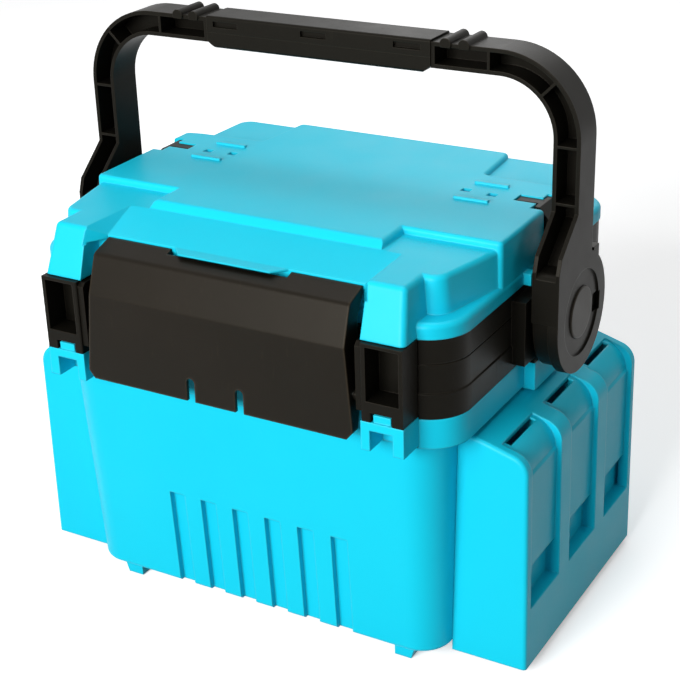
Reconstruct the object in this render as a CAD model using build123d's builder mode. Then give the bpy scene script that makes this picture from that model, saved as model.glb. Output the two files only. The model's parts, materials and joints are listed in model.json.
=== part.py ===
from build123d import *
import os

# Bucket-type tackle box, in millimetres.
# +X is to the right as seen from the latch, +Y is to the back, +Z is up.
# The origin is on the floor, under the middle of the tub.

# Overall driving dimensions
LENGTH = 440.0            # over both side pockets
FLOOR = 0.0               # bottom of the feet
TUB_BOTTOM = 13.5
RIM_BOTTOM = 197.5
RIM_TOP = 220.5
FRAME_TOP = 280.0
LID_BOTTOM = 280.5
FLANGE_TOP = 292.0
PLATEAU = 325.0
RIM_X = 178.0             # half length of rim, frame and lid flange
RIM_Y = 148.0
RIM_RADIUS = 32.0
WALL = 2.6

# Tub: half sizes at the bottom and under the rim
TUB_X = (159.7, 164.0)
TUB_Y = (133.9, 144.5)
TUB_RADIUS = (25.0, 28.0)
TUB_EDGE = 3.6
GROOVE_PITCH = 29.3
GROOVE_COUNT = 6
GROOVE_START = -73.0
GROOVE_WIDTH = 14.0
GROOVE_DEPTH = 5.0
GROOVE_TOP = 99.5

# Side pockets
POCKET_X = LENGTH / 2
POCKET_Y = 108.5
POCKET_BOTTOM = 7.0
BAY_PITCH = 73.0
BAY_WIDTH = 54.0
BAY_DEPTH = 5.4
SILL = 56.5
WINDOW_TOP = 87.0
SLOT_X = 196.6
SLOT_WIDTH = 5.0
SLOT_LENGTH = 44.0
POCKET_BACK = (163.4, 166.6)   # inner face of the pocket's back wall, low and high

# Screws: frame to rim, and side pockets to the tub
SCREW_RADIUS = 1.9
SCREW_X = 171.0
SCREW_Y = (-90.0, -60.0, 60.0, 90.0)
RIB_Y = (-BAY_PITCH / 2, BAY_PITCH / 2)
POCKET_SCREW_Z = (40.0, 165.0)

# Front brackets and rod-rest sockets
SOCKET_X = (120.0, 152.5)
SOCKET_FRONT = -170.0
SOCKET_TOP = 281.0
BRACKET_TOP = 222.4

# Pivots
HINGE_Y = 156.0
HINGE_Z = 284.0
KNUCKLE_RADIUS = 7.0
HINGE_PIN_RADIUS = 2.5
HINGE_X = 100.0
LATCH_Y = -163.0
LATCH_Z = 238.0
LATCH_PIN_RADIUS = 2.0
HUB_Z = 254.0
HUB_RADIUS = 46.0
SHAFT_RADIUS = 10.0
RUNNING = 0.05            # radial running clearance

# Handle
ARM_X = (191.5, 212.0)
ARM_Y = (-14.0, 15.5)
BAR_Z = (428.0, 447.0)
CORNER_X = 150.0
CORNER_Z = 385.5
GRIP_X = 96.0
GRIP_Z = (424.0, 448.5)

# Lift-out tray
TRAY_X = 155.0
TRAY_Y = 125.5
TRAY_Z = (236.0, 275.0)
OPENING_X = 158.0         # half size of the opening inside the frame
OPENING_Y = 128.0
TRAY_LEDGE = 272.0

os.makedirs("parts", exist_ok=True)


def save(piece, name):
    """Label a finished piece and write it as a STEP file."""
    piece.label = name
    export_step(piece, f"parts/{name}.step")


def save_pair(piece, name):
    """Write a right-hand piece and its mirror image on the left."""
    save(piece, f"{name}_right")
    save(mirror(piece, about=Plane.YZ), f"{name}_left")


def block(x, y, z, mode=Mode.ADD):
    """A block between two limits on each axis."""
    with Locations(((x[0] + x[1]) / 2, (y[0] + y[1]) / 2, (z[0] + z[1]) / 2)):
        Box(x[1] - x[0], y[1] - y[0], z[1] - z[0], mode=mode)


def plate(half_x, half_y, radius, z, mode=Mode.ADD):
    """A rounded rectangular plate between two heights."""
    with BuildSketch(Plane.XY.offset(z[0])) as outline:
        RectangleRounded(2 * half_x, 2 * half_y, radius)
    extrude(outline.sketch, amount=z[1] - z[0], mode=mode)


def frustum(half_x, half_y, radius, z, mode=Mode.ADD):
    """A tapered rounded block; each size is given at its bottom and top."""
    with BuildSketch(Plane.XY.offset(z[0])) as low:
        RectangleRounded(2 * half_x[0], 2 * half_y[0], radius[0])
    with BuildSketch(Plane.XY.offset(z[1])) as high:
        RectangleRounded(2 * half_x[1], 2 * half_y[1], radius[1])
    loft([low.sketch, high.sketch], ruled=True, mode=mode)


def side_prism(points, x, mode=Mode.ADD):
    """Extrude a (Y, Z) outline between two X positions."""
    with BuildSketch(Plane.YZ.offset(x[0])) as outline:
        with BuildLine():
            Polyline(*points, close=True)
        make_face()
    extrude(outline.sketch, amount=x[1] - x[0], mode=mode)


def front_prism(points, y, mode=Mode.ADD):
    """Extrude an (X, Z) outline between two Y positions."""
    with BuildSketch(Plane.XZ.offset(-y[1])) as outline:
        with BuildLine():
            Polyline(*points, close=True)
        make_face()
    extrude(outline.sketch, amount=y[1] - y[0], mode=mode)


def rod(radius, x, y, z, mode=Mode.ADD):
    """A round bar along X between two X positions."""
    with BuildSketch(Plane.YZ.offset(x[0])) as outline:
        with Locations((y, z)):
            Circle(radius)
    extrude(outline.sketch, amount=x[1] - x[0], mode=mode)


def post(radius, x, y, z, mode=Mode.ADD):
    """A round bar along Z between two heights."""
    with BuildSketch(Plane.XY.offset(z[0])) as outline:
        with Locations((x, y)):
            Circle(radius)
    extrude(outline.sketch, amount=z[1] - z[0], mode=mode)


def tub_half(sizes, z):
    """Half size of the tapered tub at height z."""
    share = (z - TUB_BOTTOM) / (RIM_BOTTOM - TUB_BOTTOM)
    return sizes[0] + share * (sizes[1] - sizes[0])


GROOVES = [GROOVE_START + GROOVE_PITCH * index for index in range(GROOVE_COUNT)]


def groove_blocks(depth, side, top, mode):
    """Upright grooves in the front and back walls, widened by side."""
    low = TUB_BOTTOM - 1.0
    face_low = tub_half(TUB_Y, low)
    face_top = tub_half(TUB_Y, top)
    outside = RIM_Y + 2.0
    for start in GROOVES:
        span = (start - side, start + GROOVE_WIDTH + side)
        for sign in (-1, 1):
            outline = [
                (sign * outside, low),
                (sign * (face_low - depth), low),
                (sign * (face_top - depth), top),
                (sign * outside, top),
            ]
            side_prism(outline, span, mode)


# Tub with its rim, feet and brackets
with BuildPart() as tub_cavity:
    cavity_floor = TUB_BOTTOM + WALL
    frustum(
        (TUB_X[0] - WALL, TUB_X[1] - WALL),
        (TUB_Y[0] - WALL, TUB_Y[1] - WALL),
        (TUB_RADIUS[0] - WALL, TUB_RADIUS[1] - WALL),
        (cavity_floor, RIM_BOTTOM),
    )
    fillet(tub_cavity.edges().group_by(Axis.Z)[0], TUB_EDGE - WALL)
    plate(TUB_X[1] - WALL, TUB_Y[1] - WALL, TUB_RADIUS[1] - WALL, (RIM_BOTTOM, RIM_TOP + 1.0))
    groove_blocks(GROOVE_DEPTH + WALL, WALL, GROOVE_TOP + WALL, Mode.SUBTRACT)

with BuildPart() as tub:
    frustum(TUB_X, TUB_Y, TUB_RADIUS, (TUB_BOTTOM, RIM_BOTTOM))
    fillet(tub.edges().group_by(Axis.Z)[0], TUB_EDGE)
    groove_blocks(GROOVE_DEPTH, 0.0, GROOVE_TOP, Mode.SUBTRACT)
    plate(RIM_X, RIM_Y, RIM_RADIUS, (RIM_BOTTOM, RIM_TOP))
    fillet(tub.edges().filter_by(GeomType.CIRCLE).group_by(Axis.Z)[-1], 1.0)
    for sign_x in (-1, 1):
        # hollow under the rim at each end
        block(
            (sign_x * 171.0 - 4.0, sign_x * 171.0 + 4.0),
            (-112.0, 112.0),
            (RIM_BOTTOM - 1.0, 215.0),
            Mode.SUBTRACT,
        )
        # bracket that carries the handle block of the frame
        block(
            (sign_x * 181.9 - 4.9, sign_x * 181.9 + 4.9),
            (-25.0, 25.0),
            (195.5, 218.5),
        )
        for sign_y in (-1, 1):
            foot = [
                (sign_x * 119.0, FLOOR),
                (sign_x * 133.0, FLOOR),
                (sign_x * 138.0, TUB_BOTTOM + 2.5),
                (sign_x * 119.0, TUB_BOTTOM + 2.5),
            ]
            front_prism(foot, tuple(sorted((sign_y * 125.0, sign_y * 100.0))))
        # bracket under each rod-rest socket
        bracket_x = tuple(sorted((sign_x * 119.5, sign_x * 153.0)))
        block(bracket_x, (SOCKET_FRONT, 1.0 - RIM_Y), (200.0, RIM_TOP))
        block(bracket_x, (SOCKET_FRONT, -RIM_Y - 0.05), (RIM_TOP - 1.0, BRACKET_TOP))
        arch_x = tuple(sorted((sign_x * 126.5, sign_x * 144.5)))
        block(arch_x, (SOCKET_FRONT - 1.0, -RIM_Y - 3.0), (199.0, 216.0), Mode.SUBTRACT)
        tongue_x = tuple(sorted((sign_x * 129.0, sign_x * 142.5)))
        block(tongue_x, (SOCKET_FRONT + 1.5, SOCKET_FRONT + 8.0), (BRACKET_TOP - 1.0, 228.0))
        for y in SCREW_Y:
            post(SCREW_RADIUS, sign_x * SCREW_X, y, (214.0, RIM_TOP + 1.0), Mode.SUBTRACT)
    add(tub_cavity.part, mode=Mode.SUBTRACT)
    for sign_x in (-1, 1):
        for y in RIB_Y:
            for z in POCKET_SCREW_Z:
                rod(SCREW_RADIUS, tuple(sorted((sign_x * 150.0, sign_x * 166.0))), y, z, Mode.SUBTRACT)
save(tub.part, "tub")

# Side pocket with three bays; each has a slot on top and a window below
with BuildPart() as side_pocket:
    wing = [
        (tub_half(TUB_X, POCKET_BOTTOM) + 0.05, POCKET_BOTTOM),
        (POCKET_X, POCKET_BOTTOM),
        (218.0, 181.5),
        (182.0, 192.0),
        (tub_half(TUB_X, 196.0) + 0.05, 196.0),
    ]
    front_prism(wing, (-POCKET_Y, POCKET_Y))
    shoulder = side_pocket.edges().filter_by(Axis.Y).sort_by_distance((218.0, 0.0, 181.5))[0]
    fillet(shoulder, 16.0)
    outer_edges = side_pocket.edges().filter_by(lambda e: abs(abs(e.center().Y) - POCKET_Y) < 0.01)
    fillet(outer_edges.filter_by(lambda e: e.center().X > 170.0 and e.center().Z > 20.0), 3.0)
    for index in (-1, 0, 1):
        centre = index * BAY_PITCH
        bay = (centre - BAY_WIDTH / 2, centre + BAY_WIDTH / 2)
        # recess of the outer panel, rolling over the shoulder to the slot
        with BuildSketch(Plane.XZ.offset(-bay[1])) as recess:
            with BuildLine():
                Polyline(
                    (POCKET_X + 2.0, SILL),
                    (POCKET_X - BAY_DEPTH, SILL),
                    (POCKET_X - BAY_DEPTH, 163.5),
                    (213.0, 166.0),
                )
                RadiusArc((213.0, 166.0), (SLOT_X, 186.6), -22.0)
                Polyline(
                    (SLOT_X, 186.6),
                    (SLOT_X - SLOT_WIDTH / 2, 187.0),
                    (SLOT_X - SLOT_WIDTH / 2, 200.0),
                    (POCKET_X + 2.0, 200.0),
                    (POCKET_X + 2.0, SILL),
                )
            make_face()
        extrude(recess.sketch, amount=BAY_WIDTH, mode=Mode.SUBTRACT)
        # hollow behind the panel, longer at the ends of the pocket
        room = (bay[0] - (6.0 if index < 0 else 0.0), bay[1] + (6.0 if index > 0 else 0.0))
        with BuildSketch(Plane.XZ.offset(-room[1])) as hollow:
            with BuildLine():
                Polyline(
                    (210.2, 165.0),
                    (211.0, SILL),
                    (POCKET_BACK[0], SILL),
                    (POCKET_BACK[1], 192.0),
                    (181.5, 188.7),
                    (192.5, 185.5),
                )
                RadiusArc((192.5, 185.5), (210.2, 165.0), 20.0)
            make_face()
        extrude(hollow.sketch, amount=room[1] - room[0], mode=Mode.SUBTRACT)
        block((205.0, POCKET_X + 2.0), bay, (SILL, WINDOW_TOP), Mode.SUBTRACT)
        # plate behind the window
        block((205.6, 208.2), (room[0] - 0.5, room[1] + 0.5), (SILL - 1.0, WINDOW_TOP + 6.0))
        block(
            (SLOT_X - SLOT_WIDTH / 2, SLOT_X + SLOT_WIDTH / 2),
            (centre - SLOT_LENGTH / 2, centre + SLOT_LENGTH / 2),
            (170.0, 200.0),
            Mode.SUBTRACT,
        )
        # open underside below the bay, with two crossed ribs
        for span_x in ((POCKET_BACK[0], 189.0), (191.0, POCKET_X - WALL)):
            for span_y in ((room[0] + 1.0, centre - 1.0), (centre + 1.0, room[1] - 1.0)):
                block(span_x, span_y, (0.0, SILL - WALL), Mode.SUBTRACT)
    for y in RIB_Y:
        # hollow ribs between the bays, and the screw holes behind them
        block((172.0, 214.0), (y - 6.3, y + 6.3), (0.0, 172.0), Mode.SUBTRACT)
        for z in POCKET_SCREW_Z:
            rod(SCREW_RADIUS, (158.0, 171.0), y, z, Mode.SUBTRACT)
save_pair(side_pocket.part, "side_pocket")

# Black frame between the tub and the lid
with BuildPart() as frame:
    plate(RIM_X, RIM_Y, RIM_RADIUS, (RIM_TOP, 240.0))
    fillet(frame.faces().sort_by(Axis.Z)[-1].edges(), 1.0)
    plate(RIM_X - 1.0, RIM_Y - 1.0, RIM_RADIUS - 1.0, (239.0, FRAME_TOP))
    # thin groove round the upper band
    with BuildSketch(Plane.XY.offset(261.4)) as ring:
        RectangleRounded(2 * RIM_X + 4.0, 2 * RIM_Y + 4.0, RIM_RADIUS)
        RectangleRounded(2 * RIM_X - 3.2, 2 * RIM_Y - 3.2, RIM_RADIUS - 1.6, mode=Mode.SUBTRACT)
    extrude(ring.sketch, amount=1.2, mode=Mode.SUBTRACT)
    # channel under the frame, open to the tub rim
    for inner, top in ((161.0, 268.0), (165.0, 275.5)):
        with BuildSketch(Plane.XY.offset(RIM_TOP)) as channel:
            RectangleRounded(2 * 174.0, 2 * 144.0, 28.0)
            RectangleRounded(2 * inner, 2 * (inner - 30.0), inner - 143.0, mode=Mode.SUBTRACT)
        extrude(channel.sketch, amount=top - RIM_TOP, mode=Mode.SUBTRACT)
    for sign_x in (-1, 1):
        # block and drum that carry the handle
        block(
            (sign_x * 181.0 - 7.0, sign_x * 181.0 + 7.0),
            (-48.0, 48.0),
            (225.0, 275.0),
        )
        pocket_x = tuple(sorted((sign_x * 173.0, sign_x * 184.0)))
        for pocket_y in ((-44.0, -16.0), (16.0, 44.0)):
            block(pocket_x, pocket_y, (229.0, 271.0), Mode.SUBTRACT)
        drum_x = tuple(sorted((sign_x * 187.0, sign_x * 191.0)))
        rod(36.0, drum_x, 0.0, HUB_Z)
        rib_x = tuple(sorted((sign_x * 178.05, sign_x * 187.0)))
        block(rib_x, (-27.0, 27.0), (218.6, 226.0))
        shaft_x = tuple(sorted((sign_x * 190.0, sign_x * 203.0)))
        rod(SHAFT_RADIUS, shaft_x, 0.0, HUB_Z)
        # hinge knuckles at the back
        for centre in (sign_x * HINGE_X - 16.0, sign_x * HINGE_X + 16.0):
            knuckle_x = (centre - 6.0, centre + 6.0)
            web = [
                (RIM_Y - 2.0, 256.0),
                (RIM_Y - 2.0, 279.5),
                (HINGE_Y, HINGE_Z),
                (HINGE_Y + KNUCKLE_RADIUS, HINGE_Z),
                (HINGE_Y + KNUCKLE_RADIUS - 1.0, 279.0),
            ]
            side_prism(web, knuckle_x)
            rod(KNUCKLE_RADIUS, knuckle_x, HINGE_Y, HINGE_Z)
            rod(HINGE_PIN_RADIUS + 0.02, knuckle_x, HINGE_Y, HINGE_Z, Mode.SUBTRACT)
        for y in SCREW_Y:
            post(4.6, sign_x * SCREW_X, y, (RIM_TOP, 276.0))
            post(SCREW_RADIUS, sign_x * SCREW_X, y, (RIM_TOP - 1.0, 236.0), Mode.SUBTRACT)
        pilot_x = tuple(sorted((sign_x * 178.0, sign_x * 204.0)))
        rod(3.0, pilot_x, 0.0, HUB_Z, Mode.SUBTRACT)
    plate(OPENING_X, OPENING_Y, 15.0, (RIM_TOP - 1.0, FRAME_TOP + 1.0), Mode.SUBTRACT)
    plate(162.5, 132.5, 19.0, (TRAY_LEDGE, FRAME_TOP + 1.0), Mode.SUBTRACT)
save(frame.part, "mid_frame")

# Rod-rest socket with the upright that carries the latch pin
with BuildPart() as socket:
    block(SOCKET_X, (SOCKET_FRONT, -RIM_Y - 0.05), (BRACKET_TOP + 0.1, SOCKET_TOP))
    block((124.0, 149.5), (SOCKET_FRONT - 1.0, -RIM_Y - 2.0), (238.0, 278.5), Mode.SUBTRACT)
    block((127.5, 144.0), (SOCKET_FRONT - 1.0, -158.0), (220.0, 230.0), Mode.SUBTRACT)
    fillet(socket.edges().filter_by(Axis.Z).sort_by(Axis.Y)[:2], 1.5)
    upright = [(-168.0, 229.0), (-148.05, 229.0), (-148.05, 280.0), (-165.0, 280.0), (-168.0, 277.0)]
    side_prism(upright, (115.2, SOCKET_X[0] + 0.5))
    rod(4.0, (112.5, SOCKET_X[0]), LATCH_Y, LATCH_Z)
    rod(LATCH_PIN_RADIUS + 0.02, (112.0, 121.5), LATCH_Y, LATCH_Z, Mode.SUBTRACT)
save_pair(socket.part, "rod_socket")

# Stop beside each handle hub, standing in a notch of the lid
with BuildPart() as stop_post:
    stem = [(20.6, 300.0), (32.4, 300.0), (32.4, 324.0), (23.5, 324.0), (20.6, 306.0)]
    side_prism(stem, (148.0, 170.0))
    body = [
        (9.4, FRAME_TOP + 0.02),
        (41.0, FRAME_TOP + 0.02),
        (41.0, 324.0),
        (15.4, 324.0),
        (9.4, 292.0),
    ]
    side_prism(body, (166.0, 182.0))
    slope = [(170.0, 330.0), (170.0, 324.0), (183.0, 311.0), (183.0, 330.0)]
    front_prism(slope, (0.0, 50.0), Mode.SUBTRACT)
    block((177.05, 184.0), (0.0, 50.0), (FRAME_TOP - 1.0, 284.0), Mode.SUBTRACT)
save_pair(stop_post.part, "handle_stop")

# Lid
CORNER_DECK = 319.4
LIP = 306.5
SETBACK = -140.5
SLOPE_TOP = (-100.0, CORNER_DECK)
SLOPE_FOOT = (-140.3, 310.8)
REAR_DECK = 321.0
INNER_X = 118.5           # inner side of the towers, beside the latch


def lid_outline(points, radii, z):
    """A lid outline from its right half; the left half is its mirror image."""
    with BuildSketch(Plane.XY.offset(z)) as outline:
        with BuildLine():
            FilletPolyline(*points, radius=radii)
            mirror(about=Plane.YZ)
        make_face()
    return outline.sketch


def rectangle(x, y, z):
    """A flat rectangle between two limits on X and Y."""
    with BuildSketch(Plane.XY.offset(z)) as area:
        with Locations(((x[0] + x[1]) / 2, (y[0] + y[1]) / 2)):
            Rectangle(x[1] - x[0], y[1] - y[0])
    return area.sketch


with BuildPart() as low_body:
    # body of the lid, up to the rear corners
    foot = ((0.0, -67.5), (177.4, -67.5), (177.4, 61.5), (160.2, 64.0), (158.2, 124.5), (0.0, 124.5))
    top = ((0.0, -65.0), (176.2, -65.0), (176.2, 60.0), (159.0, 62.5), (157.0, 122.5), (0.0, 122.5))
    radii = (4.0, 5.0, 2.0, 12.0)
    loft([lid_outline(foot, radii, 288.0), lid_outline(top, radii, REAR_DECK)], ruled=True)
    fillet(low_body.faces().sort_by(Axis.Z)[-1].edges(), 3.0)

with BuildPart() as high_body:
    # plateau, narrower at the back
    foot = ((0.0, -65.8), (176.6, -65.8), (176.6, 61.0), (160.4, 64.0), (103.4, 66.4), (98.4, 122.9), (0.0, 122.9))
    top = ((0.0, -65.0), (176.2, -65.0), (176.2, 60.4), (160.0, 63.4), (103.0, 66.0), (98.0, 122.5), (0.0, 122.5))
    radii = (4.0, 5.0, 6.0, 3.0, 5.0)
    loft([lid_outline(foot, radii, 312.0), lid_outline(top, radii, PLATEAU)], ruled=True)
    fillet(high_body.faces().sort_by(Axis.Z)[-1].edges(), 3.0)

with BuildPart() as front_step:
    # middle of the plateau, reaching out to the slope
    loft(
        [
            rectangle((-102.0, 102.0), (-107.4, -50.0), 312.0),
            rectangle((-98.5, 98.5), (-93.5, -50.0), PLATEAU),
        ],
        ruled=True,
    )
    step_edges = front_step.faces().sort_by(Axis.Z)[-1].edges()
    fillet(step_edges.filter_by(lambda e: e.center().Y < -51.0), 4.0)

with BuildPart() as slope_body:
    # slope down to the latch, with the nose in the middle
    profile = [
        (-60.0, LID_BOTTOM),
        (SLOPE_FOOT[0] + 1.0, LID_BOTTOM),
        (SLOPE_FOOT[0] + 1.0, LIP),
        (SLOPE_FOOT[0], LIP),
        SLOPE_FOOT,
        SLOPE_TOP,
        (-60.0, CORNER_DECK),
    ]
    side_prism(profile, (-118.0, 118.0))
    nose = [(-49.0, -132.0), (-49.0, -139.5), (-39.0, -150.5), (39.0, -150.5), (49.0, -139.5), (49.0, -132.0)]
    with BuildSketch(Plane.XY.offset(SLOPE_FOOT[1] - 1.3)) as nose_outline:
        with BuildLine():
            Polyline(*nose, close=True)
        make_face()
    extrude(nose_outline.sketch, amount=1.3)

# Space between the towers: one plane beside the slope, one beside the latch
INNER_FOOT = Vector(109.3, *SLOPE_FOOT)
INNER_BACK = Vector(117.0, -100.5, CORNER_DECK)
INNER_FRONT = Vector(119.5, -155.0, CORNER_DECK)
INNER_LIP = Vector(INNER_X, -155.0, 305.0)


def inner_space(first, second):
    """The space on the inner side of the plane through the foot and two points."""
    normal = (first - INNER_FOOT).cross(second - INNER_FOOT)
    if normal.X > 0:
        normal = -normal
    with BuildPart() as space:
        block((80.0, 140.0), (-185.0, -100.0), (LIP - 0.4, 340.0))
        split(bisect_by=Plane(origin=INNER_FOOT, z_dir=normal), keep=Keep.TOP)
    return space.part


with BuildPart() as tower:
    # tower over the socket
    loft(
        [
            rectangle((109.5, 152.1), (-166.0, -118.0), 281.5),
            rectangle((109.5, 147.5), (-153.5, -118.0), CORNER_DECK),
        ],
        ruled=True,
    )
    rounded = tower.edges().filter_by(lambda e: e.center().X > 128.0 and e.center().Z > 290.0)
    fillet(rounded.filter_by(lambda e: e.center().Y < -130.0), 4.5)

with BuildPart() as corner:
    # front right corner with its tower
    with BuildSketch(Plane.XY.offset(285.0)) as foot_outline:
        with BuildLine():
            FilletPolyline((98.0, -130.5), (162.4, -130.5), (177.1, -58.0), radius=14.0)
            Polyline((177.1, -58.0), (98.0, -58.0), (98.0, -130.5))
        make_face()
    with BuildSketch(Plane.XY.offset(CORNER_DECK)) as deck_outline:
        with BuildLine():
            FilletPolyline((98.0, -128.0), (159.9, -128.0), (174.6, -58.0), radius=12.0)
            Polyline((174.6, -58.0), (98.0, -58.0), (98.0, -128.0))
        make_face()
    loft([foot_outline.sketch, deck_outline.sketch], ruled=True)
    deck_edges = corner.faces().sort_by(Axis.Z)[-1].edges()
    fillet(deck_edges.filter_by(lambda e: e.center().X > 120.0 and e.center().Y < -58.5), 4.0)
    add(tower.part)
    add(inner_space(INNER_BACK, INNER_FRONT), mode=Mode.SUBTRACT)
    add(inner_space(INNER_FRONT, INNER_LIP), mode=Mode.SUBTRACT)
    block((90.0, INNER_X), (-180.0, SETBACK), (270.0, LIP + 1.0), Mode.SUBTRACT)

with BuildPart() as lid:
    plate(RIM_X, RIM_Y, RIM_RADIUS, (LID_BOTTOM, FLANGE_TOP))
    fillet(lid.faces().sort_by(Axis.Z)[-1].edges(), 4.2)
    block((-118.0, 118.0), (-RIM_Y - 2.0, SETBACK), (LID_BOTTOM - 1.0, FLANGE_TOP + 1.0), Mode.SUBTRACT)
    for body in (low_body, high_body, front_step, slope_body, corner):
        add(body.part)
    add(mirror(corner.part, about=Plane.YZ))
    for sign_x in (-1, 1):
        # raised bars and shallow pockets for a strap
        ridge_x = tuple(sorted((sign_x * 105.0, sign_x * 133.0)))
        for ridge_y in ((4.4, 7.8), (41.6, 45.0)):
            block(ridge_x, ridge_y, (PLATEAU - 1.0, PLATEAU + 1.8))
        for x, y in ((128.4, 23.3), (105.9, 25.1)):
            block(
                (sign_x * x - 3.8, sign_x * x + 3.8),
                (y - 3.2, y + 3.2),
                (PLATEAU - 2.4, PLATEAU + 1.0),
                Mode.SUBTRACT,
            )
        tab_x = tuple(sorted((sign_x * 176.0, sign_x * 184.0)))
        block(tab_x, (-30.0, -21.0), (281.0, 290.0))
        # hinge knuckle
        lug = [(RIM_Y - 3.0, 283.0), (RIM_Y - 3.0, 291.0), (HINGE_Y, 291.0), (HINGE_Y, 283.0)]
        lug_x = (sign_x * HINGE_X - 9.7, sign_x * HINGE_X + 9.7)
        side_prism(lug, lug_x)
        rod(KNUCKLE_RADIUS, lug_x, HINGE_Y, HINGE_Z)
        rod(HINGE_PIN_RADIUS + RUNNING, lug_x, HINGE_Y, HINGE_Z, Mode.SUBTRACT)
        # notch round the handle stop
        notch_x = tuple(sorted((sign_x * 165.4, sign_x * 190.0)))
        block(notch_x, (8.6, 41.7), (LID_BOTTOM - 1.0, PLATEAU + 2.0), Mode.SUBTRACT)
        slot_x = tuple(sorted((sign_x * 147.2, sign_x * 170.0)))
        block(slot_x, (19.8, 33.2), (298.0, PLATEAU + 2.0), Mode.SUBTRACT)
        # way of the lid past the stem of the stop
        way_x = tuple(sorted((sign_x * 161.0, sign_x * 171.0)))
        block(way_x, (16.5, 33.2), (LID_BOTTOM - 1.0, 321.5), Mode.SUBTRACT)
    # hollow inside, level by level
    plate(164.5, 134.5, 22.0, (LID_BOTTOM - 1.0, 289.0), Mode.SUBTRACT)
    block((-162.0, 162.0), (-61.5, 54.0), (285.0, 322.0), Mode.SUBTRACT)
    block((-153.5, 153.5), (53.0, 110.0), (285.0, 317.6), Mode.SUBTRACT)
    block((-145.0, 145.0), (53.0, 118.8), (285.0, 317.6), Mode.SUBTRACT)
    block((-94.5, 94.5), (53.0, 118.8), (285.0, 321.8), Mode.SUBTRACT)
    under_slope = [
        (-50.0, 285.0),
        (-136.2, 285.0),
        (-136.2, 308.0),
        (-97.5, 315.9),
        (-90.5, 322.0),
        (-50.0, 322.0),
    ]
    side_prism(under_slope, (-95.0, 95.0), Mode.SUBTRACT)
    under_deck = [(-60.0, 285.0), (-125.0, 285.0), (-125.0, 308.0), (-97.0, 315.8), (-60.0, 316.0)]
    for sign_x in (-1, 1):
        side_prism(under_deck, tuple(sorted((sign_x * 94.9, sign_x * 121.6))), Mode.SUBTRACT)
        for far_x, near_y in ((150.0, -124.0), (158.5, -112.0), (164.0, -90.0), (168.0, -70.0)):
            room_x = tuple(sorted((sign_x * 121.5, sign_x * far_x)))
            block(room_x, (near_y, -61.0), (287.5, 316.2), Mode.SUBTRACT)
        side_x = tuple(sorted((sign_x * 161.0, sign_x * 172.8)))
        for side_y in ((-61.0, 5.0), (45.0, 57.0)):
            block(side_x, side_y, (287.5, 321.0), Mode.SUBTRACT)
        tower_room = [(-162.8, 278.0), (-152.8, 312.0), (-141.5, 312.0), (-141.5, 278.0)]
        side_prism(tower_room, tuple(sorted((sign_x * 122.0, sign_x * 145.0))), Mode.SUBTRACT)
    # groove for the seal
    with BuildSketch(Plane.XY.offset(LID_BOTTOM - 1.0)) as seal_groove:
        RectangleRounded(2 * 172.0, 2 * 139.5, 28.0)
        RectangleRounded(2 * 168.0, 2 * 135.5, 24.0, mode=Mode.SUBTRACT)
    extrude(seal_groove.sketch, amount=3.8, mode=Mode.SUBTRACT)
save(lid.part, "lid")

# Seal in the underside of the lid, in two lengths that end at the handle stops
for name, span in (("front", (-160.0, 7.0)), ("rear", (43.5, 160.0))):
    with BuildPart() as lid_seal:
        plate(171.8, 139.3, 27.8, (FRAME_TOP + 0.05, LID_BOTTOM + 2.7))
        plate(168.2, 135.7, 24.2, (FRAME_TOP - 1.0, LID_BOTTOM + 4.0), Mode.SUBTRACT)
        block((-190.0, 190.0), span, (270.0, 290.0), Mode.INTERSECT)
    save(lid_seal.part, f"lid_seal_{name}")

# Pins of the lid hinge
for name, centre in (("left", -HINGE_X), ("right", HINGE_X)):
    with BuildPart() as hinge_pin:
        rod(HINGE_PIN_RADIUS, (centre - 23.0, centre + 23.0), HINGE_Y, HINGE_Z)
        chamfer(hinge_pin.edges().filter_by(GeomType.CIRCLE), 0.5)
    save(hinge_pin.part, f"hinge_pin_{name}")

# Front latch: a wide shell that turns on two short pins
LATCH_TOP = 303.0         # at its front edge; the top rises to the lid
LATCH_REAR = (-141.2, 309.4)
LATCH_OUTLINE = [
    (-107.8, LATCH_REAR[1]),
    (107.8, LATCH_REAR[1]),
    (108.3, 274.0),
    (114.0, 212.0),
    (109.0, 205.7),
    (-109.0, 205.7),
    (-114.0, 212.0),
    (-108.3, 274.0),
]

with BuildPart() as latch_hollow:
    inner_profile = [
        (-130.0, 310.0),
        (-158.2, 300.4),
        (-167.0, 273.5),
        (-168.9, 195.0),
        (-130.0, 195.0),
    ]
    side_prism(inner_profile, (-120.0, 120.0))
    inner_outline = [
        (-105.0, 315.0),
        (105.0, 315.0),
        (105.3, 274.0),
        (111.0, 212.0),
        (111.0, 190.0),
        (-111.0, 190.0),
        (-111.0, 212.0),
        (-105.3, 274.0),
    ]
    front_prism(inner_outline, (-190.0, -120.0), Mode.INTERSECT)

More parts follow.
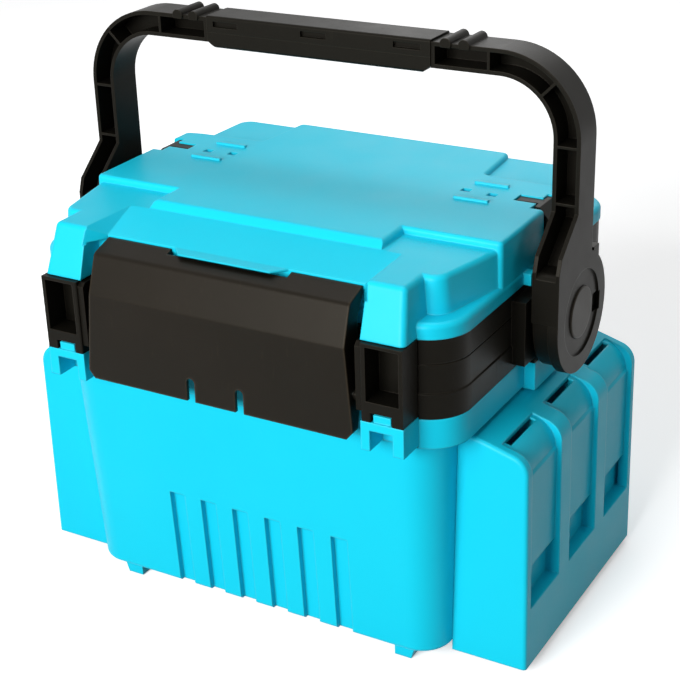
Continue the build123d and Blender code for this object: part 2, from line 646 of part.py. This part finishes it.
with BuildPart() as front_latch:
    latch_profile = [
        LATCH_REAR,
        (-160.0, LATCH_TOP),
        (-170.0, 274.0),
        (-171.7, 205.7),
        (-166.0, 205.7),
        (-152.0, 240.0),
        (-150.0, 290.0),
        (LATCH_REAR[0], 304.0),
    ]
    side_prism(latch_profile, (-120.0, 120.0))
    top_edge = front_latch.edges().filter_by(Axis.X).sort_by_distance((0.0, -160.0, LATCH_TOP))[0]
    fillet(top_edge, 5.0)
    front_prism(LATCH_OUTLINE, (-190.0, -120.0), Mode.INTERSECT)
    add(latch_hollow.part, mode=Mode.SUBTRACT)
    # room for the nose of the lid
    block((-51.0, 51.0), (-147.0, -130.0), (298.0, 315.0), Mode.SUBTRACT)
    with BuildSketch(Plane.XZ.offset(180.0)) as finger_slots:
        with Locations((-21.0, 208.0), (21.0, 208.0)):
            SlotOverall(32.0, 7.0, rotation=90)
    extrude(finger_slots.sketch, amount=-20.0, mode=Mode.SUBTRACT)
    # stiffening ribs behind the skin
    for x in (-70.0, -42.0, 0.0, 42.0, 70.0):
        rib = [(-158.0, 301.0), (-152.0, 302.3), (-160.0, 268.0), (-164.5, 232.0), (-168.4, 232.0), (-166.6, 273.5)]
        side_prism(rib, (x - 1.0, x + 1.0))
    for sign_x in (-1, 1):
        hole_x = tuple(sorted((sign_x * 100.0, sign_x * 116.0)))
        rod(LATCH_PIN_RADIUS + RUNNING, hole_x, LATCH_Y, LATCH_Z, Mode.SUBTRACT)
save(front_latch.part, "front_latch")

with BuildPart() as latch_pin:
    rod(LATCH_PIN_RADIUS, (105.0, 121.4), LATCH_Y, LATCH_Z)
    chamfer(latch_pin.edges().filter_by(GeomType.CIRCLE), 0.4)
save_pair(latch_pin.part, "latch_pin")


def bow(edge_x, top, radius, low, plane):
    """Area under an arch with rounded upper corners, on an upright plane."""
    with BuildSketch(plane) as area:
        with BuildLine():
            FilletPolyline((-edge_x, low), (-edge_x, top), (edge_x, top), (edge_x, low), radius=radius)
            Line((edge_x, low), (-edge_x, low))
        make_face()
    return area.sketch


# Handle: arms, hubs and top bar in one moulding
BOW_RADIUS = 62.0
BOW_INNER = 42.0
WEB = 3.0
FLARE_TOP = 334.0

with BuildPart() as bow_pockets:
    # channels along the front and the back of the bow
    for y in ((ARM_Y[0] - 1.0, 6.0), (9.0, ARM_Y[1] + 1.0)):
        back = Plane.XZ.offset(-y[1])
        extrude(bow(ARM_X[1] - WEB, BAR_Z[1] - WEB, BOW_RADIUS - WEB, FLARE_TOP, back), amount=y[1] - y[0])
        extrude(
            bow(ARM_X[0] + WEB, BAR_Z[0] + WEB, BOW_INNER + WEB, FLARE_TOP - 5.0, back),
            amount=y[1] - y[0],
            mode=Mode.SUBTRACT,
        )
    block((-GRIP_X - WEB, GRIP_X + WEB), (-40.0, 40.0), (400.0, 460.0), Mode.SUBTRACT)
    for sign_x in (-1, 1):
        rib_x = tuple(sorted((sign_x * 185.0, sign_x * 215.0)))
        for z in (340.0, 382.0):
            block(rib_x, (-40.0, 40.0), (z - 1.0, z + 1.0), Mode.SUBTRACT)
        block((sign_x * 141.0 - 1.0, sign_x * 141.0 + 1.0), (-40.0, 40.0), (400.0, 460.0), Mode.SUBTRACT)
        with BuildSketch(Plane.XZ.offset(-40.0)) as diagonal:
            with Locations((sign_x * CORNER_X, CORNER_Z)):
                Rectangle(2.0, 150.0, rotation=-sign_x * 45.0)
        extrude(diagonal.sketch, amount=80.0, mode=Mode.SUBTRACT)

with BuildPart() as bail:
    rear = Plane.XZ.offset(-ARM_Y[1])
    depth = ARM_Y[1] - ARM_Y[0]
    extrude(bow(ARM_X[1], BAR_Z[1], BOW_RADIUS, 300.0, rear), amount=depth)
    extrude(bow(ARM_X[0], BAR_Z[0], BOW_INNER, 290.0, rear), amount=depth, mode=Mode.SUBTRACT)
    add(bow_pockets.part, mode=Mode.SUBTRACT)
    # core of the bar inside the grip
    block((-GRIP_X, GRIP_X), (-40.0, 40.0), (420.0, 460.0), Mode.SUBTRACT)
    block((-GRIP_X - 1.0, GRIP_X + 1.0), (-9.5, 11.0), (431.5, 443.5))
    for x in (-60.0, 0.0, 60.0):
        post(2.4, x, 0.75, (430.0, 445.0), Mode.SUBTRACT)
    for sign_x in (-1, 1):
        # rests for a rod on top of the bar
        for x in (108.0, 122.5):
            with BuildSketch(Plane.XZ.offset(-ARM_Y[1])) as rest:
                with Locations((sign_x * x, BAR_Z[1] - 0.5)):
                    Circle(4.4)
            extrude(rest.sketch, amount=depth + 1.5)
            block(
                (sign_x * x - 6.5, sign_x * x + 6.5),
                (ARM_Y[0] - 5.0, ARM_Y[1] + 5.0),
                (BAR_Z[0] + 5.0, BAR_Z[1] - WEB),
                Mode.SUBTRACT,
            )
            block(
                (sign_x * x - 6.5, sign_x * x + 6.5),
                (6.0, 9.0),
                (BAR_Z[0] + 4.0, BAR_Z[1] - WEB + 1.0),
            )
        # widening arm below the bow
        arm_x = tuple(sorted((sign_x * ARM_X[0], sign_x * ARM_X[1])))
        flare = [
            (ARM_Y[1], FLARE_TOP),
            (ARM_Y[1], HUB_Z),
            (-HUB_RADIUS, HUB_Z + 6.0),
            (-HUB_RADIUS, 299.0),
            (-42.0, 310.0),
            (ARM_Y[0], FLARE_TOP),
        ]
        side_prism(flare, arm_x)
        inner_x = tuple(sorted((sign_x * (ARM_X[0] + WEB), sign_x * (ARM_X[1] - WEB))))
        with BuildSketch(Plane.YZ.offset(inner_x[0])) as recess:
            with BuildLine():
                Polyline((-47.0, FLARE_TOP + 0.5), (6.0, FLARE_TOP + 0.5), (6.0, 324.0), (-26.0, 298.0), (-39.0, 298.0))
                RadiusArc((-39.0, 298.0), (-47.0, 290.0), -8.0)
                Line((-47.0, 290.0), (-47.0, FLARE_TOP + 0.5))
            make_face()
        extrude(recess.sketch, amount=inner_x[1] - inner_x[0], mode=Mode.SUBTRACT)
        # hub: a thick inner drum and a wider outer disc
        drum_x = tuple(sorted((sign_x * ARM_X[0], sign_x * 205.0)))
        disc_x = tuple(sorted((sign_x * 204.0, sign_x * ARM_X[1])))
        rod(HUB_RADIUS - 3.5, drum_x, 0.0, HUB_Z)
        rod(HUB_RADIUS, disc_x, 0.0, HUB_Z)
        block(disc_x, (20.0, 30.0), (288.0, 298.0))
        face_x = tuple(sorted((sign_x * (ARM_X[1] - 1.4), sign_x * 215.0)))
        rod(33.0, face_x, 0.0, HUB_Z, Mode.SUBTRACT)
        window_x = tuple(sorted((sign_x * (ARM_X[1] - 4.5), sign_x * 215.0)))
        block(window_x, (24.0, 35.0), (244.0, 259.0), Mode.SUBTRACT)
        bore_x = tuple(sorted((sign_x * 190.0, sign_x * 215.0)))
        rod(SHAFT_RADIUS + RUNNING, bore_x, 0.0, HUB_Z, Mode.SUBTRACT)
        washer_x = tuple(sorted((sign_x * 202.0, sign_x * 215.0)))
        rod(16.2, washer_x, 0.0, HUB_Z, Mode.SUBTRACT)
        cap_x = tuple(sorted((sign_x * 207.2, sign_x * 215.0)))
        rod(20.2, cap_x, 0.0, HUB_Z, Mode.SUBTRACT)
save(bail.part, "handle_bail")

# Cap, washer and bolt of each hub
with BuildPart() as hub_cap:
    rod(20.15, (207.25, 212.0), 0.0, HUB_Z)
    fillet(hub_cap.edges().sort_by(Axis.X)[-1], 1.2)
save_pair(hub_cap.part, "hub_cap")

with BuildPart() as hub_washer:
    rod(15.0, (203.02, 204.5), 0.0, HUB_Z)
    rod(3.2, (200.0, 206.0), 0.0, HUB_Z, Mode.SUBTRACT)
save_pair(hub_washer.part, "hub_washer")

with BuildPart() as hub_bolt:
    rod(6.0, (204.52, 207.0), 0.0, HUB_Z)
    with BuildSketch(Plane.YZ.offset(205.4)) as drive:
        with Locations((0.0, HUB_Z)):
            RegularPolygon(2.6, 6)
    extrude(drive.sketch, amount=4.0, mode=Mode.SUBTRACT)
    rod(3.0, (180.0, 204.6), 0.0, HUB_Z)
save_pair(hub_bolt.part, "hub_bolt")

# Grip: two shells round the core of the bar
GRIP_Y = (-15.0, 16.5)
GRIP_SEAM = 436.0

with BuildPart() as grip_upper:
    block((-GRIP_X, GRIP_X), GRIP_Y, (GRIP_SEAM + 0.02, GRIP_Z[1]))
    fillet(grip_upper.edges().filter_by(Axis.X).group_by(Axis.Z)[-1], 2.0)
    block((-GRIP_X - 1.0, GRIP_X + 1.0), (-9.55, 11.05), (430.0, 443.55), Mode.SUBTRACT)
    for x in (-79.0, -1.0, 77.0):
        block((x - 11.0, x + 11.0), (-20.0, -12.5), (440.2, 444.6), Mode.SUBTRACT)
    for x in (-60.0, 0.0, 60.0):
        post(1.6, x, 0.75, (443.0, 447.0), Mode.SUBTRACT)
save(grip_upper.part, "grip_upper")

with BuildPart() as grip_lower:
    lower = [
        (-GRIP_X, 429.0),
        (-GRIP_X + 7.0, GRIP_Z[0]),
        (GRIP_X - 7.0, GRIP_Z[0]),
        (GRIP_X, 429.0),
        (GRIP_X, GRIP_SEAM - 0.02),
        (-GRIP_X, GRIP_SEAM - 0.02),
    ]
    front_prism(lower, GRIP_Y)
    fillet(grip_lower.edges().filter_by(Axis.X).group_by(Axis.Z)[0], 2.5)
    block((-GRIP_X - 1.0, GRIP_X + 1.0), (-9.55, 11.05), (431.45, 440.0), Mode.SUBTRACT)
    for x in (-60.0, 0.0, 60.0):
        post(1.9, x, 0.75, (420.0, 440.0), Mode.SUBTRACT)
        post(3.8, x, 0.75, (420.0, 427.0), Mode.SUBTRACT)
save(grip_lower.part, "grip_lower")

with BuildPart() as grip_screws:
    for x in (-60.0, 0.0, 60.0):
        post(1.6, x, 0.75, (425.5, 446.9))
        post(3.4, x, 0.75, (424.8, 426.98))
save(grip_screws.part, "grip_screws")

# Lift-out tray with two loose dividers
TRAY_WALL = 2.0
DIVIDER_X = 52.0
DIVIDER_Y = (-TRAY_Y + TRAY_WALL, -21.0)

TRAY_FLOOR = TRAY_Z[0] + TRAY_WALL

with BuildPart() as tray_hollow:
    plate(TRAY_X - TRAY_WALL, TRAY_Y - TRAY_WALL, 11.0, (TRAY_FLOOR, TRAY_Z[1] + 1.0))
    # walls that stay between the compartments
    block((-TRAY_X, TRAY_X), (-21.0, -19.0), (TRAY_FLOOR - 1.0, TRAY_Z[1] + 2.0), Mode.SUBTRACT)
    for x in (-51.0, 51.0):
        block((x - 1.0, x + 1.0), (-20.0, TRAY_Y), (TRAY_FLOOR - 1.0, TRAY_Z[1] + 2.0), Mode.SUBTRACT)

with BuildPart() as tray:
    plate(TRAY_X, TRAY_Y, 13.0, TRAY_Z)
    fillet(tray.edges().group_by(Axis.Z)[0], TRAY_WALL)
    plate(161.8, 131.8, 18.4, (TRAY_LEDGE + 0.02, TRAY_Z[1]))
    add(tray_hollow.part, mode=Mode.SUBTRACT)
    for x in (-DIVIDER_X, DIVIDER_X):
        # guide ribs that hold a divider
        for y in DIVIDER_Y:
            for side in (-1.9, 1.9):
                block((x + side - 0.8, x + side + 0.8), (y - 1.5, y + 1.5), (TRAY_FLOOR, 270.0))
save(tray.part, "lift_out_tray")

for name, x in (("left", -DIVIDER_X), ("right", DIVIDER_X)):
    with BuildPart() as divider:
        block((x - 0.9, x + 0.9), (DIVIDER_Y[0] + 0.3, DIVIDER_Y[1] - 0.3), (TRAY_FLOOR + 0.02, 270.0))
        block((x - 0.9, x + 0.9), (-82.0, -62.0), (266.0, 272.0), Mode.SUBTRACT)
    save(divider.part, f"tray_divider_{name}")

# Screws that are the same, one node for each set
with BuildPart() as frame_screws:
    for sign_x in (-1, 1):
        for y in SCREW_Y:
            post(SCREW_RADIUS, sign_x * SCREW_X, y, (213.0, 235.5))
            post(3.6, sign_x * SCREW_X, y, (212.6, 214.98))
save(frame_screws.part, "frame_screws")

with BuildPart() as pocket_screws:
    for sign_x in (-1, 1):
        for y in RIB_Y:
            for z in POCKET_SCREW_Z:
                inside = tub_half(TUB_X, z) - WALL
                shank_x = tuple(sorted((sign_x * (inside - 2.0), sign_x * 170.5)))
                head_x = tuple(sorted((sign_x * (inside - 2.8), sign_x * (inside - 0.4))))
                rod(SCREW_RADIUS, shank_x, y, z)
                rod(4.2, head_x, y, z)
save(pocket_screws.part, "pocket_screws")
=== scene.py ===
import json
import math

import bpy
from mathutils import Matrix, Vector

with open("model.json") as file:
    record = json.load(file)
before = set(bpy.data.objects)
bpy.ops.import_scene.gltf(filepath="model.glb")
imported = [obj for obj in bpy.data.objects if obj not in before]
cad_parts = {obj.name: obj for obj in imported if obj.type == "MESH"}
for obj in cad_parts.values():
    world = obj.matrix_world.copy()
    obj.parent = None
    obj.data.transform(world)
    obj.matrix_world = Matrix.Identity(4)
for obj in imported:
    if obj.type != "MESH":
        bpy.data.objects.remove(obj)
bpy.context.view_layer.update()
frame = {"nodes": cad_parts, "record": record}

NODES = frame["nodes"]

# Sizes in metres, lamps in watts, noise scales in waves per metre
SPARK_DEPTH = 0.00012
WAVE_DEPTH = 0.0005
TURNING_DEPTH = 0.0001
SHADE_REACH = 0.012
CLOUD_SCALE = 7.0
PATCH_SCALE = 38.0
SPARK_SCALE = 1500.0
SCUFF_SCALE = 260.0
SCUFF_STRETCH = (1.0, 1.0, 0.16)
EDGE_SAMPLES = 6
AMBIENT = 0.12
FLOOR_GLOW = 0.42
FLOOR_SIZE = 12.0
FLOOR_Z = -0.0005
AIM = (0.0, 0.0, 0.2)
WHITE = (1.0, 1.0, 1.0, 1.0)


# Node trees
class Graph:
    """Small helper for building the node tree of a material or a world."""

    def __init__(self, owner):
        self.owner = owner
        owner.use_nodes = True
        self.tree = owner.node_tree
        self.tree.nodes.clear()

    def put(self, value, socket):
        """Link a socket to another one, or give it a value."""
        if isinstance(value, bpy.types.NodeSocket):
            self.tree.links.new(value, socket)
        else:
            socket.default_value = value

    def add(self, kind, inputs=None, **settings):
        node = self.tree.nodes.new(kind)
        for key, value in settings.items():
            setattr(node, key, value)
        for key, value in (inputs or {}).items():
            self.put(value, node.inputs[key])
        return node

    def noise(self, vector, scale, detail=2.0, rough=0.5):
        node = self.add(
            "ShaderNodeTexNoise",
            {"Vector": vector, "Scale": scale, "Detail": detail, "Roughness": rough},
        )
        return node.outputs["Fac"]

    def remap(self, value, low, high, new_low, new_high):
        node = self.add(
            "ShaderNodeMapRange",
            {"Value": value, "From Min": low, "From Max": high, "To Min": new_low, "To Max": new_high},
        )
        return node.outputs["Result"]

    def math(self, operation, first, second):
        return self.add("ShaderNodeMath", {0: first, 1: second}, operation=operation).outputs[0]

    def mix(self, factor, first, second, blend="MIX"):
        node = self.add("ShaderNodeMix", data_type="RGBA", blend_type=blend)
        self.put(factor, [s for s in node.inputs if s.name == "Factor"][0])
        for key, value in (("A", first), ("B", second)):
            self.put(value, [s for s in node.inputs if s.name == key and s.type == "RGBA"][0])
        return [s for s in node.outputs if s.type == "RGBA"][0]

    def bump(self, height, strength, distance, normal=None):
        inputs = {"Height": height, "Strength": strength, "Distance": distance}
        if normal is not None:
            inputs["Normal"] = normal
        return self.add("ShaderNodeBump", inputs).outputs["Normal"]

    def background_seen(self):
        """1 for the rays that show the background: the camera's, reflected and transmitted ones."""
        rays = self.add("ShaderNodeLightPath").outputs
        mirrored = self.math("MAXIMUM", rays["Is Camera Ray"], rays["Is Glossy Ray"])
        return self.math("MAXIMUM", mirrored, rays["Is Transmission Ray"])

    def finish(self, shader, output="ShaderNodeOutputMaterial"):
        self.add(output, {"Surface": shader})
        return self.owner


def rgb(red, green, blue):
    """sRGB 0-255 to a linear colour."""
    values = []
    for level in (red, green, blue):
        share = level / 255.0
        values.append(share / 12.92 if share <= 0.04045 else ((share + 0.055) / 1.055) ** 2.4)
    return (*values, 1.0)


# Materials
def edge_wear_and_highlight_mask(graph, radius):
    """1 on outer edges, where wear and a painted highlight go, 0 on flat ground."""
    bevel = graph.add("ShaderNodeBevel", {"Radius": radius}, samples=EDGE_SAMPLES)
    geometry = graph.add("ShaderNodeNewGeometry")
    dot = graph.add(
        "ShaderNodeVectorMath",
        {0: bevel.outputs["Normal"], 1: geometry.outputs["Normal"]},
        operation="DOT_PRODUCT",
    )
    return graph.remap(dot.outputs["Value"], 1.0, 0.86, 0.0, 1.0)


def painted_corner_shade(graph, darkest):
    """Painted shade: grey that falls towards darkest in corners and narrow gaps."""
    shade = graph.add("ShaderNodeAmbientOcclusion", {"Distance": SHADE_REACH}, samples=EDGE_SAMPLES)
    shade_level = graph.remap(shade.outputs["AO"], 0.15, 0.9, darkest, 1.0)
    grey = graph.add("ShaderNodeCombineColor", {"Red": shade_level, "Green": shade_level, "Blue": shade_level})
    return grey.outputs["Color"]


def moulded(name, colours, rough, grain, edge=0.0008, spec=0.5, hollow=0.84, sheen=WHITE):
    """Moulded plastic: fine spark texture, flow clouds, faint scuffs, rubbed edges with a painted
    highlight, and painted shade in corners.

    colours are the base, its cloudy tint and the colour of wear and of the painted edge highlight, edge
    is the radius of the corners, and hollow is how dark the painted shade in the corners of recesses is.
    """
    base, tint, wear_and_highlight = (rgb(*colour) for colour in colours)
    graph = Graph(bpy.data.materials.new(name))
    where = graph.add("ShaderNodeTexCoord").outputs["Object"]
    clouds = graph.noise(where, CLOUD_SCALE, 4.0, 0.55)
    patches = graph.noise(where, PATCH_SCALE, 3.0, 0.5)
    spark = graph.noise(where, SPARK_SCALE, 2.0, 0.6)
    stretch = graph.add("ShaderNodeMapping", {"Vector": where, "Scale": SCUFF_STRETCH})
    scuffs = graph.noise(stretch.outputs["Vector"], SCUFF_SCALE, 5.0, 0.72)
    scratched = graph.remap(scuffs, 0.62, 0.72, 0.0, 1.0)
    # Mask of outer edges, for wear and a painted highlight
    rubbed_and_highlit = edge_wear_and_highlight_mask(graph, edge * 1.3)

    colour = graph.mix(graph.remap(clouds, 0.3, 0.7, 0.0, 1.0), base, tint)
    colour = graph.mix(graph.math("MULTIPLY", scratched, 0.10), colour, wear_and_highlight)
    # Outer edges get the wear colour, which also paints a highlight on them
    colour = graph.mix(graph.math("MULTIPLY", rubbed_and_highlit, 0.35), colour, wear_and_highlight)
    # Painted shade darkens corners, recesses and narrow gaps
    colour = graph.mix(1.0, colour, painted_corner_shade(graph, hollow), "MULTIPLY")

    gloss = graph.remap(patches, 0.3, 0.7, rough - 0.02, rough + 0.03)
    gloss = graph.math("ADD", gloss, graph.math("MULTIPLY", scratched, 0.10))
    gloss = graph.math("SUBTRACT", gloss, graph.math("MULTIPLY", rubbed_and_highlit, 0.08))

    rounded = graph.add("ShaderNodeBevel", {"Radius": edge}, samples=EDGE_SAMPLES)
    wave = graph.bump(patches, 0.10, WAVE_DEPTH, rounded.outputs["Normal"])
    shader = graph.add(
        "ShaderNodeBsdfPrincipled",
        {
            "Base Color": colour,
            "Roughness": gloss,
            "Normal": graph.bump(spark, grain, SPARK_DEPTH, wave),
            "IOR": 1.49,
            "Specular IOR Level": spec,
            "Specular Tint": sheen,
        },
    )
    return graph.finish(shader.outputs["BSDF"])


def steel(name):
    """Zinc plated screw steel with turning marks."""
    graph = Graph(bpy.data.materials.new(name))
    where = graph.add("ShaderNodeTexCoord").outputs["Object"]
    marks = graph.noise(where, 900.0, 3.0, 0.6)
    blotch = graph.noise(where, 120.0, 3.0, 0.6)
    colour = graph.mix(graph.remap(blotch, 0.35, 0.65, 0.0, 1.0), rgb(196, 196, 198), rgb(160, 158, 152))
    shader = graph.add(
        "ShaderNodeBsdfPrincipled",
        {
            "Base Color": colour,
            "Metallic": 1.0,
            "Roughness": graph.remap(marks, 0.3, 0.7, 0.22, 0.40),
            "Normal": graph.bump(marks, 0.25, TURNING_DEPTH),
        },
    )
    return graph.finish(shader.outputs["BSDF"])


# Warm gloss of the black plastic
WARM = (1.0, 0.93, 0.80, 1.0)

BY_SLOT = {
    "blue_shell": moulded(
        "blue_plastic",
        ((12, 205, 234), (17, 209, 236), (70, 222, 242)),
        rough=0.42,
        grain=0.30,
        edge=0.0017,
        spec=0.2,
    ),
    "black_frame": moulded(
        "black_plastic",
        ((17, 16, 13), (22, 20, 16), (58, 53, 44)),
        rough=0.37,
        grain=0.35,
        spec=0.08,
        hollow=0.3,
        sheen=WARM,
    ),
    # Its light brown edge colour is wear and a painted highlight on the rounded edges
    "black_gloss": moulded(
        "latch_plastic",
        ((17, 15, 11), (23, 19, 14), (82, 71, 53)),
        rough=0.38,
        grain=0.45,
        edge=0.0022,
        spec=0.13,
        hollow=0.4,
        sheen=WARM,
    ),
    "clear_tray": moulded(
        "tray_plastic",
        ((212, 222, 224), (224, 232, 232), (240, 244, 244)),
        rough=0.30,
        grain=0.15,
    ),
    "seal": moulded(
        "seal_rubber",
        ((26, 26, 26), (34, 34, 33), (60, 60, 58)),
        rough=0.75,
        grain=0.5,
        spec=0.3,
    ),
    "steel": steel("zinc_steel"),
}
SLOT_OF = {entry["node"]: entry["material_slot"] for entry in frame["record"]["subparts"]}


def dress(obj, material):
    """Give a piece one material."""
    obj.data.materials.clear()
    obj.data.materials.append(material)


for node_name, node_object in NODES.items():
    dress(node_object, BY_SLOT[SLOT_OF[node_name]])


# Floor, backdrop and light
def pale_floor():
    """White where it is seen, grey where it lights the object from below."""
    graph = Graph(bpy.data.materials.new("pale_floor"))
    where = graph.add("ShaderNodeTexCoord").outputs["Object"]
    clouds = graph.noise(where, 2.0, 2.0, 0.5)
    pale = graph.mix(graph.remap(clouds, 0.3, 0.7, 0.0, 1.0), rgb(246, 247, 248), rgb(250, 250, 250))
    seen = graph.background_seen()
    colour = graph.mix(seen, rgb(120, 122, 124), pale)
    matt = graph.add("ShaderNodeBsdfDiffuse", {"Color": colour, "Roughness": 0.6})
    glow = graph.math("MULTIPLY", seen, FLOOR_GLOW)
    lift = graph.add("ShaderNodeEmission", {"Color": WHITE, "Strength": glow})
    both = graph.add("ShaderNodeAddShader", {0: matt.outputs[0], 1: lift.outputs[0]})
    return graph.finish(both.outputs[0])


def studio_world():
    """White where it is seen, a low even light on the object."""
    graph = Graph(bpy.data.worlds.new("studio"))
    ambient = graph.add("ShaderNodeBackground", {"Color": WHITE, "Strength": AMBIENT})
    white = graph.add("ShaderNodeBackground", {"Color": WHITE, "Strength": 1.0})
    choose = graph.add(
        "ShaderNodeMixShader",
        {"Fac": graph.background_seen(), 1: ambient.outputs[0], 2: white.outputs[0]},
    )
    return graph.finish(choose.outputs[0], "ShaderNodeOutputWorld")


def softbox(name, place, size, power):
    """A rectangular lamp that points at the middle of the object."""
    lamp = bpy.data.lights.new(name, "AREA")
    lamp.shape = "RECTANGLE"
    lamp.size, lamp.size_y = size
    lamp.energy = power
    holder = bpy.data.objects.new(name, lamp)
    bpy.context.collection.objects.link(holder)
    holder.location = place
    aim = Vector(AIM) - Vector(place)
    holder.rotation_euler = aim.to_track_quat("-Z", "Y").to_euler()


bpy.ops.mesh.primitive_plane_add(size=FLOOR_SIZE, location=(0.0, 0.0, FLOOR_Z))
floor = bpy.context.object
floor.name = "floor"
dress(floor, pale_floor())

bpy.context.scene.world = studio_world()

softbox("key", (-0.25, -2.7, 1.1), (1.7, 1.2), 94.0)
softbox("overhead", (-0.2, 0.3, 2.6), (1.6, 1.6), 23.0)
softbox("back_fill", (-0.6, 2.6, 1.4), (1.6, 1.2), 8.0)
softbox("side_fill", (2.6, 0.4, 0.8), (1.0, 1.0), 3.0)

# Camera at the photograph's viewpoint
FRAME_PIXELS = 680.0
FOCAL_PIXELS = 1573.62
SENSOR = 36.0
CAMERA_PLACE = Vector((0.5943, -1.0001, 0.7224))
YAW = math.radians(30.494)
PITCH = math.radians(24.656)
ROLL = math.radians(1.808)

forward = Vector((-math.sin(YAW) * math.cos(PITCH), math.cos(YAW) * math.cos(PITCH), -math.sin(PITCH)))
level = Vector((math.cos(YAW), math.sin(YAW), 0.0))
down = forward.cross(level)
image_right = math.cos(ROLL) * level + math.sin(ROLL) * down
image_down = -math.sin(ROLL) * level + math.cos(ROLL) * down

camera_data = bpy.data.cameras.new("camera")
camera_data.sensor_width = SENSOR
camera_data.lens = FOCAL_PIXELS / FRAME_PIXELS * SENSOR
camera_data.clip_start = 0.01
camera_data.clip_end = 50.0
camera = bpy.data.objects.new("camera", camera_data)
bpy.context.collection.objects.link(camera)
turn = Matrix((image_right, -image_down, -forward)).transposed()
camera.matrix_world = Matrix.Translation(CAMERA_PLACE) @ turn.to_4x4()
bpy.context.scene.camera = camera
bpy.context.scene.view_settings.view_transform = "Standard"
